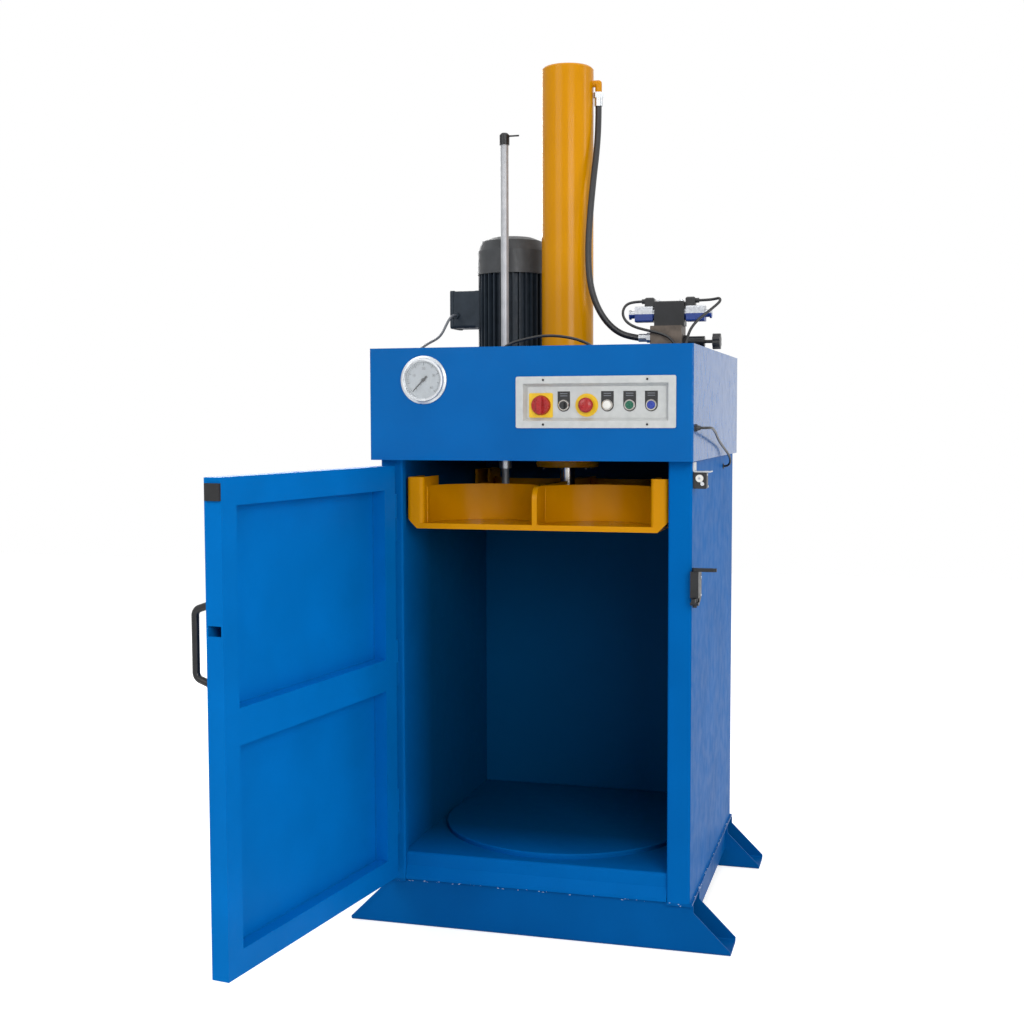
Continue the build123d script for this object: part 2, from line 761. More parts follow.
def rod_stop():
    """Round stop on top of the guide rod, with the pin that trips at the end of the stroke."""
    cap = turned([
        (GUIDE_RADIUS, -STOP_SKIRT),
        (STOP_RADIUS, -STOP_SKIRT),
        (STOP_RADIUS, STOP_CROWN - STOP_EDGE),
        (STOP_RADIUS - STOP_EDGE, STOP_CROWN),
        (0, STOP_CROWN),
        (0, 0),
        (GUIDE_RADIUS, 0),
    ])
    cap += bar_x((0, STOP_RADIUS + STOP_PIN_LENGTH), 0, STOP_CROWN / 3, STOP_PIN_RADIUS)
    return Pos(GUIDE_X, GUIDE_Y, up(GUIDE_TOP)) * cap


# Door

def opened(shape):
    """Swing a piece drawn with the door shut to the place it has with the door open."""
    x, y = DOOR_PIVOT
    return Pos(x, y, 0) * Rot(0, 0, -DOOR_OPEN_ANGLE) * Pos(-x, -y, 0) * shape


def door():
    """Door leaf: outer sheet on a frame of hollow rails, two recesses inside, hinge knuckles."""
    bottom, top = up(DOOR_BOTTOM), up(DOOR_TOP)
    middle = up(DOOR_MID_HEIGHT)
    leaf = block(DOOR_EDGE, (DOOR_OUTER, DOOR_INNER), (bottom, top))
    recess_x = (DOOR_EDGE[0] + DOOR_RAIL, DOOR_EDGE[1] - DOOR_RAIL)
    recess_y = (DOOR_INNER - DOOR_RECESS, DOOR_INNER)
    lower = (bottom + DOOR_RAIL, middle - DOOR_MID_RAIL / 2)
    upper = (middle + DOOR_MID_RAIL / 2, top - DOOR_TOP_RAIL)
    leaf -= block(recess_x, recess_y, lower)
    leaf -= block(recess_x, recess_y, upper)
    wall = DOOR_SHEET
    hollow_y = (DOOR_OUTER + wall, DOOR_INNER - wall)
    left_rail = (DOOR_EDGE[0] + wall, recess_x[0] - wall)
    right_rail = (recess_x[1] + wall, DOOR_EDGE[1] - wall)
    leaf -= block(left_rail, hollow_y, (bottom, top - wall))
    leaf -= block(right_rail, hollow_y, (bottom, top - wall))
    for z in ((bottom, lower[0]), (lower[1], upper[0]), (upper[1], top)):
        leaf -= block((left_rail[1], right_rail[0]), hollow_y, (z[0] + wall, z[1] - wall))
    slot_y = (DOOR_INNER - SLOT_WIDTH - BEND, DOOR_INNER - BEND)
    slot_z = (up(LATCH_TONGUE_LEVEL) - SLOT_HEIGHT / 2, up(LATCH_TONGUE_LEVEL) + SLOT_HEIGHT / 2)
    leaf -= block((DOOR_EDGE[1] - SLOT_DEPTH, DOOR_EDGE[1]), slot_y, slot_z)
    pivot_x, pivot_y = DOOR_PIVOT
    half_strap = HINGE_STRAP / 2
    for height in HINGE_HEIGHTS:
        z = (up(height) + SLIDE_GAP / 2, up(height) + HINGE_LENGTH / 2)
        knuckle = bar(pivot_x, pivot_y, z, HINGE_RADIUS)
        knuckle += block((pivot_x, DOOR_EDGE[0]), (pivot_y - half_strap, pivot_y + half_strap), z)
        knuckle -= bar(pivot_x, pivot_y, z, HINGE_PIN_RADIUS + RUN_FIT)
        leaf += knuckle
    return opened(leaf)


def door_handle():
    """Bar bent into a shallow bridge, near the free edge of the outer face."""
    x = DOOR_EDGE[1] - HANDLE_EDGE
    bottom = up(HANDLE_HEIGHT) - HANDLE_LENGTH / 2
    top = bottom + HANDLE_LENGTH
    crest = DOOR_OUTER - HANDLE_STANDOFF
    path = FilletPolyline(
        (x, DOOR_OUTER, bottom),
        (x, crest, bottom + HANDLE_SLANT),
        (x, crest, top - HANDLE_SLANT),
        (x, DOOR_OUTER, top),
        radius=HANDLE_BAR * 2,
    )
    start = Plane(origin=(x, DOOR_OUTER, bottom), z_dir=(0, crest - DOOR_OUTER, HANDLE_SLANT))
    grip = sweep(start * Circle(HANDLE_BAR), path=path)
    for z in (bottom, top):
        grip += bar_y(x, (DOOR_OUTER - HANDLE_BAR, DOOR_OUTER), z, HANDLE_BAR * 1.5)
    grip -= block((x - 50, x + 50), (DOOR_OUTER, DOOR_OUTER + 50), (bottom - 50, top + 50))
    return opened(grip)


def door_striker():
    """Plate on the free edge of the door that works the limit switch."""
    x = (DOOR_EDGE[1], DOOR_EDGE[1] + STRIKER_THICKNESS)
    y = (DOOR_INNER - STRIKER_SIZE, DOOR_INNER)
    middle = up(DOOR_TOP - STRIKER_DROP)
    z = (middle - STRIKER_SIZE / 2, middle + STRIKER_SIZE / 2)
    return opened(block(x, y, z))


def hinge_blocks():
    """Fixed hinge halves welded on the left post, one under each knuckle of the door."""
    pivot_x, pivot_y = DOOR_PIVOT
    blocks = []
    for height in HINGE_HEIGHTS:
        z = (up(height) - HINGE_LENGTH / 2, up(height) - SLIDE_GAP / 2)
        knuckle = bar(pivot_x, pivot_y, z, HINGE_RADIUS)
        knuckle += block((pivot_x - HINGE_RADIUS, pivot_x + HINGE_RADIUS / 2), (pivot_y, FRONT), z)
        blocks.append(knuckle - bar(pivot_x, pivot_y, z, HINGE_PIN_RADIUS))
    return Compound(blocks)


def hinge_pins():
    """Pins held in the fixed halves, on which the door is hung."""
    return Compound([
        bar(*DOOR_PIVOT, (up(h) - HINGE_LENGTH / 2, up(h) + HINGE_LENGTH / 2), HINGE_PIN_RADIUS)
        for h in HINGE_HEIGHTS
    ])


# Latch

LATCH_TONGUE_LEVEL = LATCH_HEIGHT - LATCH_TONGUE_DROP
LATCH_AXIS = (CABINET_HALF + LATCH_THICKNESS / 2, FRONT - LATCH_AXIS_FORWARD)


def latch_body():
    """Rounded case screwed to the right wall, slotted for the tongue, with a domed front."""
    x = (CABINET_HALF, CABINET_HALF + LATCH_THICKNESS)
    front = LATCH_AXIS[1] - LATCH_THICKNESS / 2
    back = front + LATCH_BODY_DEPTH
    z = (up(LATCH_HEIGHT) - LATCH_BODY_HEIGHT / 2, up(LATCH_HEIGHT) + LATCH_BODY_HEIGHT / 2)
    side = outline([(front, z[0]), (back, z[0] + LATCH_THICKNESS), (back, z[1]), (front, z[1])])
    corners = [(front, z[0]), (back, z[0] + LATCH_THICKNESS), (back, z[1])]
    case = along_x(rounded(side, corners, LATCH_THICKNESS / 2), x)
    gap = LATCH_TONGUE_THICKNESS / 2 + CUT
    level = up(LATCH_TONGUE_LEVEL)
    mouth_y = (front - CUT, LATCH_AXIS[1] + LATCH_TONGUE_THICKNESS + CUT)
    case -= block((x[0] - CUT, x[1] + CUT), mouth_y, (level - gap, level + gap))
    return case - bar(*LATCH_AXIS, z, LATCH_SHAFT_RADIUS + RUN_FIT)


def latch_lever():
    """Upright shaft with a flat handle on top and the tongue that enters the door's slot."""
    axis_x, axis_y = LATCH_AXIS
    top = up(LATCH_HEIGHT) + LATCH_BODY_HEIGHT / 2
    z = (up(LATCH_HEIGHT) - LATCH_BODY_HEIGHT / 2, top + SLIDE_GAP)
    lever = bar(axis_x, axis_y, z, LATCH_SHAFT_RADIUS)
    handle_z = (z[1], z[1] + LATCH_HANDLE_THICKNESS)
    half = LATCH_HUB_RADIUS
    lever += bar(axis_x, axis_y, handle_z, half)
    lever += block((axis_x, axis_x + LATCH_HANDLE_LENGTH), (axis_y - half, axis_y + half), handle_z)
    lever += bar(axis_x + LATCH_HANDLE_LENGTH, axis_y, handle_z, half)
    level = up(LATCH_TONGUE_LEVEL)
    thick = LATCH_TONGUE_THICKNESS / 2
    tongue_z = (level - thick, level + thick)
    lever += bar(axis_x, axis_y, tongue_z, LATCH_HUB_RADIUS)
    return lever + block((axis_x - thick, axis_x + thick), (axis_y - LATCH_TONGUE, axis_y), tongue_z)


# Limit switch

LIMIT_FRONT = FRONT + LIMIT_BACK
LIMIT_X = (CABINET_HALF + SLIDE_GAP, CABINET_HALF + SLIDE_GAP + LIMIT_WIDTH)
LIMIT_LEVEL = HEAD_FOOT - LIMIT_DROP
LIMIT_Z = (LIMIT_LEVEL - LIMIT_SIZE / 2, LIMIT_LEVEL + LIMIT_SIZE / 2)
LIMIT_AXIS = (CABINET_HALF + LIMIT_SHAFT_OUT, LIMIT_Z[0] + LIMIT_SHAFT_UP)


def switch_bracket():
    """Folded bright plate on the right wall that carries the limit switch from above."""
    z = LIMIT_Z[1]
    path = [
        (CABINET_HALF + BRACKET_REACH, z),
        (CABINET_HALF, z),
        (CABINET_HALF, z + BRACKET_LEG),
    ]
    section = folded([(x, level) for x, level in reversed(path)], BRACKET_SHEET, BRACKET_SHEET)
    y = (LIMIT_FRONT - 4, LIMIT_FRONT - 4 + BRACKET_DEPTH)
    return along_y(section, y)


def limit_switch():
    """Case of the limit switch, with the boss that carries the arm."""
    y = (LIMIT_FRONT, LIMIT_FRONT + LIMIT_DEPTH)
    case = block(LIMIT_X, y, LIMIT_Z)
    case = fillet(case.edges().filter_by(Axis.Y), BRACKET_SHEET)
    hole = bar_y(LIMIT_AXIS[0], (y[0] - CUT, y[0] + LIMIT_DEPTH / 2), LIMIT_AXIS[1], SHAFT_PIN + RUN_FIT)
    return case - hole


ROLLER_CENTRE = (LIMIT_AXIS[0] - LIMIT_ARM_LEAN, LIMIT_AXIS[1] + LIMIT_ARM)


def limit_arm():
    """Flat arm on its shaft, with the pin that the roller turns on."""
    face_y = LIMIT_FRONT - SLIDE_GAP
    y = (face_y - ARM_THICKNESS, face_y)
    (ax, az), (rx, rz) = LIMIT_AXIS, ROLLER_CENTRE
    length = hypot(rx - ax, rz - az)
    side_x, side_z = (rz - az) / length * SHAFT_PIN, -(rx - ax) / length * SHAFT_PIN
    web = outline([
        (ax + side_x, az + side_z),
        (rx + side_x, rz + side_z),
        (rx - side_x, rz - side_z),
        (ax - side_x, az - side_z),
    ])
    arm = along_y(web, y)
    arm += bar_y(ax, y, az, ARM_EYE_RADIUS)
    arm += bar_y(rx, y, rz, ARM_EYE_RADIUS)
    arm += bar_y(ax, (y[0], LIMIT_FRONT + LIMIT_DEPTH / 2), az, SHAFT_PIN)
    return arm + bar_y(rx, (y[0] - ROLLER_WIDTH - ARM_THICKNESS, y[0]), rz, SHAFT_PIN)


def limit_roller():
    """Roller at the end of the arm."""
    y1 = LIMIT_FRONT - SLIDE_GAP - ARM_THICKNESS - SLIDE_GAP
    roller = bar_y(ROLLER_CENTRE[0], (y1 - ROLLER_WIDTH, y1), ROLLER_CENTRE[1], ROLLER_RADIUS)
    return roller - bar_y(ROLLER_CENTRE[0], (y1 - ROLLER_WIDTH, y1), ROLLER_CENTRE[1], SHAFT_PIN + RUN_FIT)


# Power pack

def oil_tank():
    """Welded tank on the deck, with the round hole that the pump hangs through."""
    tank = block(TANK_X, TANK_Y, (DECK_TOP, TANK_TOP))
    tank = fillet(tank.edges().filter_by(Axis.Z), BEND)
    inner_x = (TANK_X[0] + TANK_SHEET, TANK_X[1] - TANK_SHEET)
    inner_y = (TANK_Y[0] + TANK_SHEET, TANK_Y[1] - TANK_SHEET)
    tank -= block(inner_x, inner_y, (DECK_TOP + TANK_SHEET, TANK_TOP - TANK_SHEET))
    return tank - bar(MOTOR_X, MOTOR_Y, (TANK_TOP - 2 * TANK_SHEET, TANK_TOP), TANK_HOLE_RADIUS)


def motor_body():
    """Ribbed motor housing with end shields, mounting flange and the terminal pad."""
    foot = TANK_TOP
    fins_from = foot + MOTOR_FLANGE
    shaft_hole = SHAFT_RADIUS + RUN_FIT
    body = turned([
        (shaft_hole, foot),
        (MOTOR_RADIUS, foot),
        (MOTOR_RADIUS, fins_from),
        (MOTOR_CORE_RADIUS, fins_from),
        (MOTOR_CORE_RADIUS, MOTOR_TOP),
        (shaft_hole, MOTOR_TOP),
        (shaft_hole, MOTOR_TOP - END_SHIELD),
        (MOTOR_BORE_RADIUS, MOTOR_TOP - END_SHIELD),
        (MOTOR_BORE_RADIUS, foot + END_SHIELD),
        (shaft_hole, foot + END_SHIELD),
    ])
    fin_root = MOTOR_CORE_RADIUS - FIN_ROOT
    fin = block((fin_root, MOTOR_RADIUS), (-FIN_THICKNESS / 2, FIN_THICKNESS / 2), (fins_from, MOTOR_TOP))
    body += PolarLocations(0, FIN_COUNT, start_angle=180 / FIN_COUNT) * fin
    pad_y = TERMINAL_BOX[1] / 2
    pad_z = (TERMINAL_LEVEL - TERMINAL_BOX[2] / 2, TERMINAL_LEVEL + TERMINAL_BOX[2] / 2)
    body += block((-MOTOR_RADIUS, 1 - MOTOR_CORE_RADIUS * 0.8), (-pad_y, pad_y), pad_z)
    return Pos(MOTOR_X, MOTOR_Y, 0) * body


def motor_rotor():
    """Rotor core on its shaft."""
    middle = (TANK_TOP + MOTOR_TOP) / 2
    core = (middle - ROTOR_LENGTH / 2, middle + ROTOR_LENGTH / 2)
    shaft = (TANK_TOP - PUMP_BELL_LENGTH + SHAFT_END_GAP, MOTOR_TOP + SHAFT_TOP)
    rotor = bar(MOTOR_X, MOTOR_Y, shaft, SHAFT_RADIUS)
    return rotor + bar(MOTOR_X, MOTOR_Y, core, MOTOR_BORE_RADIUS - SLIDE_GAP)


def motor_fan():
    """Fan on the upper shaft end, with straight radial blades on a backing disc."""
    bottom = MOTOR_TOP + FAN_GAP
    half = FAN_SHEET / 2
    fan = bar(0, 0, (bottom, bottom + FAN_HEIGHT), FAN_HUB_RADIUS)
    fan += bar(0, 0, (bottom, bottom + FAN_SHEET), FAN_RADIUS)
    blade = block((FAN_HUB_RADIUS - half, FAN_RADIUS), (-half, half), (bottom, bottom + FAN_HEIGHT))
    fan += PolarLocations(0, FAN_BLADES) * blade
    fan -= bar(0, 0, (bottom, bottom + FAN_HEIGHT), SHAFT_RADIUS)
    return Pos(MOTOR_X, MOTOR_Y, 0) * fan


def cowl_profile(radius, top, edge):
    """Half section of the cowl's outside or inside, its shoulder pressed in two flats."""
    return outline([
        (0, MOTOR_TOP),
        (radius, MOTOR_TOP),
        (radius, top - edge),
        (radius - COWL_SHOULDER_BREAK, top - COWL_SHOULDER_BREAK),
        (radius - edge, top),
        (0, top),
    ])


def fan_cowl():
    """Pressed steel cowl with a broken shoulder and a ring of air slots on top."""
    radius = MOTOR_RADIUS + COWL_SHEET
    top = MOTOR_TOP + COWL_LENGTH
    section = cowl_profile(radius, top, COWL_SHOULDER)
    section -= cowl_profile(radius - COWL_SHEET, top - COWL_SHEET, COWL_SHOULDER)
    cowl = revolve(Plane.XZ * section, Axis.Z)
    half = COWL_SLOT_WIDTH / 2
    slot = block(COWL_SLOT_SPAN, (-half, half), (top - COWL_SHEET - CUT, top + CUT))
    cowl -= PolarLocations(0, COWL_SLOTS) * slot
    return Pos(MOTOR_X, MOTOR_Y, 0) * cowl


def terminal_box():
    """Cast terminal box on the motor's left side, with a raised lid and a gland boss."""
    length, depth, height = TERMINAL_BOX
    x1 = MOTOR_X - MOTOR_RADIUS
    x0 = x1 - length
    y = (MOTOR_Y - depth / 2, MOTOR_Y + depth / 2)
    z = (TERMINAL_LEVEL - height / 2, TERMINAL_LEVEL + height / 2)
    case = block((x0 + TERMINAL_LID, x1), y, z)
    case = fillet(case.edges().filter_by(Axis.X), TERMINAL_CORNER)
    cover_y = (y[0] - TERMINAL_LIP, y[1] + TERMINAL_LIP)
    cover_z = (z[0] - TERMINAL_LIP, z[1] + TERMINAL_LIP)
    cover = block((x0, x0 + TERMINAL_LID), cover_y, cover_z)
    case += fillet(cover.edges().filter_by(Axis.X), TERMINAL_CORNER)
    neck = (MOTOR_GLAND[1], y[0] + CUT)
    return case + bar_y(MOTOR_GLAND[0], neck, MOTOR_GLAND[2], TERMINAL_GLAND_RADIUS)


def hydraulic_pump():
    """Gear pump that hangs in the tank from its bell, on the motor's shaft line."""
    hole = SHAFT_RADIUS + RUN_FIT
    flange = 8
    bell_bottom = TANK_TOP - PUMP_BELL_LENGTH
    body = turned([
        (0, bell_bottom - flange),
        (PUMP_BELL_RADIUS * 0.8, bell_bottom - flange),
        (PUMP_BELL_RADIUS * 0.8, TANK_TOP - flange),
        (PUMP_BELL_RADIUS, TANK_TOP - flange),
        (PUMP_BELL_RADIUS, TANK_TOP),
        (hole, TANK_TOP),
        (hole, bell_bottom),
        (0, bell_bottom),
    ])
    half_x, half_y = PUMP_SIZE[0] / 2, PUMP_SIZE[1] / 2
    gears = block((-half_x, half_x), (-half_y, half_y), (bell_bottom - flange - PUMP_SIZE[2], bell_bottom - flange))
    body += fillet(gears.edges().filter_by(Axis.Z), half_y / 2)
    return Pos(MOTOR_X, MOTOR_Y, 0) * body


# Valve stack

MANIFOLD_Z = (up(MANIFOLD_TOP) - MANIFOLD_HEIGHT, up(MANIFOLD_TOP))
VALVE_Z = (up(MANIFOLD_TOP), up(MANIFOLD_TOP) + VALVE_HEIGHT)
COIL_Z = (VALVE_Z[1] - COIL_DROP - COIL_SIZE, VALVE_Z[1] - COIL_DROP)


def valve_manifold():
    """Ported block on a square tube pedestal that is fixed to the deck."""
    y = (VALVE_Y - MANIFOLD_HALF_DEPTH, VALVE_Y + MANIFOLD_HALF_DEPTH)
    body = block(MANIFOLD_X, y, MANIFOLD_Z)
    body = chamfer(body.edges().filter_by(Axis.Z), 2)
    middle = sum(MANIFOLD_X) / 2
    half = PEDESTAL / 2
    column_x = (middle - half, middle + half)
    column_y = (VALVE_Y - half, VALVE_Y + half)
    column = frame_ring(column_x, column_y, (DECK_TOP, MANIFOLD_Z[0]), PEDESTAL_WALL)
    foot = block((middle - 1.5 * half, middle + 1.5 * half), (column_y[0] - half, column_y[1] + half),
                 (DECK_TOP, DECK_TOP + 2 * PEDESTAL_WALL))
    foot -= block((column_x[0] + 1, column_x[1] - 1), (column_y[0] + 1, column_y[1] - 1),
                  (DECK_TOP, DECK_TOP + 2 * PEDESTAL_WALL))
    return body + column + foot


def directional_valve():
    """Valve body on the manifold, waisted above the mounting face."""
    y = (VALVE_Y - VALVE_HALF_DEPTH, VALVE_Y + VALVE_HALF_DEPTH)
    body = block(VALVE_X, y, VALVE_Z)
    return chamfer(body.edges().group_by(Axis.Z)[-1], 3)


def solenoids():
    """Coil with its tube and hand-override cap on each end of the valve."""
    middle = (VALVE_X[0] + VALVE_X[1]) / 2
    half = COIL_SIZE / 2
    centre = (COIL_Z[0] + COIL_Z[1]) / 2
    start = VALVE_X[1]
    end = start + COIL_LENGTH
    coil = block((start + COIL_RIM, end), (VALVE_Y - half, VALVE_Y + half), COIL_Z)
    coil = fillet(coil.edges().filter_by(Axis.X), COIL_RIM)
    coil += bar_x((start, start + COIL_RIM), VALVE_Y, centre, half * 0.8)
    coil += bar_x((end, end + CAP_LENGTH), VALVE_Y, centre, CAP_RADIUS)
    coil += bar_x((end + CAP_LENGTH, end + CAP_LENGTH + COIL_RIM), VALVE_Y, centre, CAP_RADIUS * 1.3)
    other = Pos(2 * middle, 0, 0) * mirror(coil, Plane.YZ)
    return Compound([coil, other])


def valve_plugs():
    """Plug on top of each coil, its cable neck pointing away from the valve."""
    plugs = []
    for sign, x in ((-1, VALVE_X[0] - PLUG_INSET), (1, VALVE_X[1] + PLUG_INSET)):
        length, depth, height = PLUG_SIZE
        body = block((x - length / 2, x + length / 2), (VALVE_Y - depth / 2, VALVE_Y + depth / 2),
                     (COIL_Z[1], COIL_Z[1] + height))
        body = chamfer(body.edges().group_by(Axis.Z)[-1], 4)
        neck = sorted((x + sign * (length / 2 - 1), x + sign * (length / 2 + GLAND_NECK)))
        plugs.append(body + bar_x(neck, VALVE_Y, COIL_Z[1] + height * 0.6, LEAD_RADIUS * 1.8))
    return Compound(plugs)


PLUG_NECK_LEVEL = COIL_Z[1] + PLUG_SIZE[2] * 0.6
PLUG_NECK_LEFT = VALVE_X[0] - PLUG_INSET - PLUG_SIZE[0] / 2 - GLAND_NECK
PLUG_NECK_RIGHT = VALVE_X[1] + PLUG_INSET + PLUG_SIZE[0] / 2 + GLAND_NECK


def relief_valve():
    """Screw-in pressure relief cartridge on the right face of the manifold."""
    start = MANIFOLD_X[1]
    level = up(RELIEF_HEIGHT)
    hexagon = extrude(RegularPolygon(RELIEF_RADIUS * 1.2, 6), 12)
    body = Pos(start, VALVE_Y, level) * Rot(0, 90, 0) * hexagon
    body += bar_x((start + 12, start + RELIEF_LENGTH), VALVE_Y, level, RELIEF_RADIUS)
    hole = (start + RELIEF_LENGTH - 20, start + RELIEF_LENGTH)
    return body - bar_x(hole, VALVE_Y, level, RELIEF_STEM_RADIUS + RUN_FIT)


def relief_knob():
    """Setting screw with a scalloped hand knob."""
    level = up(RELIEF_HEIGHT)
    start = MANIFOLD_X[1] + RELIEF_LENGTH
    knob_from = start + RELIEF_STEM_LENGTH
    stem = bar_x((start - 19, knob_from), VALVE_Y, level, RELIEF_STEM_RADIUS)
    grip = Circle(KNOB_RADIUS)
    grip -= PolarLocations(KNOB_RADIUS * 1.15, 8) * Circle(KNOB_RADIUS * 0.28)
    knob = Pos(knob_from, VALVE_Y, level) * Rot(0, 90, 0) * extrude(grip, KNOB_THICKNESS)
    return stem + knob


# Hoses and cables

HOSE_START = (PORT_REACH, 0, up(TUBE_TOP) - PORT_DROP - PORT_ELBOW_DROP - FERRULE_LENGTH)
HOSE_END = (MANIFOLD_X[0] - FERRULE_LENGTH, VALVE_Y, up(HOSE_PORT_HEIGHT))
MOTOR_GLAND = (
    MOTOR_X - MOTOR_RADIUS - TERMINAL_GLAND_OUT,
    MOTOR_Y - TERMINAL_BOX[1] / 2 - GLAND_NECK,
    TERMINAL_LEVEL - TERMINAL_GLAND_DROP,
)
SIDE_GLAND_TIP = (HEAD_HALF + GLAND_LENGTH, GLAND_Y, up(GLAND_HEIGHT))

HOSE_ROUTE = [
    HOSE_START,
    (94, 0, 2094),
    (95, -27, 2012),
    (90, -52, 1922),
    (84, -68, 1822),
    (79, -74, 1722),
    (82, -73, 1632),
    (98, -69, 1566),
    (124, -60, 1515),
    (155, -47, 1482),
    (188, -34, 1465),
    HOSE_END,
]
MOTOR_CABLE_ROUTE = [
    MOTOR_GLAND,
    (-369.5, 26, 1544),
    (-376, 6, 1530),
    (-383, -10, 1506),
    (-387, -32, 1483),
    (-388, -68, 1468),
    (-387, -116, 1457),
    (-385, -166, 1447),
    (-380, -216, 1437),
    (-375, -262, 1427),
    (-371, -300, 1416),
    (-370, -320, 1404),
    (-370, -328, 1391),
    (-370, -328, SHELF_TOP),
]
LEFT_PLUG_ROUTE = [
    (PLUG_NECK_LEFT, VALVE_Y, PLUG_NECK_LEVEL),
    (205, VALVE_Y, PLUG_NECK_LEVEL),
    (184, -40, 1556),
    (177, -54, 1532),
    (188, -64, 1508),
    (214, -71, 1490),
    (252, -78, 1479),
    (294, -84, 1470),
    (330, -88, 1452),
    (348, -96, 1418),
    (346, -122, 1388),
    (341, -166, 1372),
    (338, -222, 1365),
    (336, -274, 1362),
    (336, PARTITION_Y, 1362),
]
RIGHT_PLUG_ROUTE = [
    (PLUG_NECK_RIGHT, VALVE_Y, PLUG_NECK_LEVEL),
    (425, VALVE_Y, PLUG_NECK_LEVEL),
    (448, -33, 1562),
    (458, -46, 1542),
    (448, -59, 1520),
    (424, -70, 1502),
    (398, -80, 1484),
    (379, -89, 1458),
    (371, -103, 1424),
    (367, -134, 1394),
    (364, -184, 1377),
    (361, -240, 1371),
    (360, -274, 1370),
    (360, PARTITION_Y, 1370),
]
FRONT_LEAD_ROUTE = [
    (-110, -366, SHELF_TOP),
    (-110, -366, 1400),
    (-98, -363, 1420),
    (-72, -359, 1434),
    (-36, -356, 1443),
    (10, -352, 1452),
    (58, -350, 1451),
    (102, -350, 1443),
    (136, -351, 1431),
    (158, -353, 1416),
    (166, -354, 1399),
    (166, -354, SHELF_TOP),
]
SIDE_CABLE_ROUTE = [
    SIDE_GLAND_TIP,
    (478, GLAND_Y, 1198),
    (487, -443, 1198),
    (490, -425, 1198),
    (489, -394, 1196),
    (485, -338, 1192),
    (479, -250, 1183),
    (471, -156, 1171),
    (465, -62, 1157),
    (461, 32, 1143),
    (461, 110, 1129),
    (464, 160, 1115),
    (466, 192, 1101),
    (465, 211, 1089),
    (459, 223, 1080),
    (450, 229, 1075),
    (CABINET_HALF, 229, 1075),
]


def hose_fittings():
    """Crimped ferrule with its nut at each end of the hose."""
    nut = extrude(RegularPolygon(FERRULE_RADIUS * 1.25, 6), FERRULE_LENGTH * 0.4)
    fitting = nut + Pos(0, 0, FERRULE_LENGTH * 0.2) * Cylinder(
        FERRULE_RADIUS, FERRULE_LENGTH * 0.8, align=(Align.CENTER, Align.CENTER, Align.MIN))
    upper = Pos(PORT_REACH, 0, HOSE_START[2] + FERRULE_LENGTH) * Rot(180, 0, 0) * fitting
    lower = Pos(MANIFOLD_X[0], HOSE_END[1], HOSE_END[2]) * Rot(0, -90, 0) * fitting
    return Compound([upper, lower])


def cable_gland():
    """Gland where the side cable leaves the head."""
    nut = extrude(RegularPolygon(GLAND_HEX * 1.1, 6), GLAND_LENGTH * 0.45)
    neck = turned([(0, 0), (GLAND_HEX, 0), (SIDE_CABLE_RADIUS + 2, GLAND_LENGTH), (0, GLAND_LENGTH)])
    stem = Pos(0, 0, -HEAD_SHEET - 4) * Cylinder(
        GLAND_STEM - SLIDE_GAP, HEAD_SHEET + 5, align=(Align.CENTER, Align.CENTER, Align.MIN))
    return Pos(HEAD_HALF, GLAND_Y, up(GLAND_HEIGHT)) * Rot(0, 90, 0) * (nut + neck + stem)


# Pressure gauge

def gauge_case():
    """Turned case with a wide bezel, the dial floor and the can behind the head's front."""
    inner = GAUGE_DIAL_RADIUS
    seat = inner - 3
    floor = GAUGE_BEZEL - GAUGE_DIAL_DEPTH - GLASS_THICKNESS - 2
    case = turned([
        (0, -GAUGE_CAN_DEPTH),
        (GAUGE_CAN_RADIUS, -GAUGE_CAN_DEPTH),
        (GAUGE_CAN_RADIUS, 0),
        (GAUGE_RADIUS, 0),
        (GAUGE_RADIUS, 4),
        (GAUGE_RADIUS - 6, 6),
        (GAUGE_RADIUS - 8, GAUGE_BEZEL),
        (inner, GAUGE_BEZEL),
        (inner, GAUGE_BEZEL - 2 - GLASS_THICKNESS),
        (seat, GAUGE_BEZEL - 2 - GLASS_THICKNESS),
        (seat, floor),
        (0, floor),
    ])
    case -= bar(0, 0, (floor - NEEDLE_POST, floor), NEEDLE_SHAFT + RUN_FIT)
    return facing_front(case, GAUGE_X, HEAD_FRONT, up(GAUGE_HEIGHT))


def gauge_glass():
    """Round pane held in the bezel."""
    seat = GAUGE_BEZEL - 2 - GLASS_THICKNESS
    pane = bar(0, 0, (seat, seat + GLASS_THICKNESS), GAUGE_DIAL_RADIUS - RUN_FIT)
    return facing_front(pane, GAUGE_X, HEAD_FRONT, up(GAUGE_HEIGHT))


def gauge_needle():
    """Tapered pointer with a counterweight tail, resting at zero."""
    floor = GAUGE_BEZEL - GAUGE_DIAL_DEPTH - GLASS_THICKNESS - 2
    level = floor + 3
    pointer = outline([(-14, -3), (NEEDLE_LENGTH, -0.8), (NEEDLE_LENGTH, 0.8), (-14, 3)])
    pointer = Pos(0, 0, level) * extrude(pointer, 1.5)
    pointer += bar(0, 0, (level, level + 3), 5)
    pointer += bar(0, 0, (floor - NEEDLE_POST + 1, level), NEEDLE_SHAFT)
    pointer = Rot(0, 0, NEEDLE_ZERO_ANGLE) * pointer
    return facing_front(pointer, GAUGE_X, HEAD_FRONT, up(GAUGE_HEIGHT))


# Control panel

CONTROLS_Z = up(CONTROL_HEIGHT)


def tray(size, floor, depth):
    """Sloped tray, open at its wide end, drawn with the wide end at level nought."""
    wide = Rectangle(*size)
    narrow = Pos(0, 0, -depth) * Rectangle(*floor)
    return loft([narrow, wide])


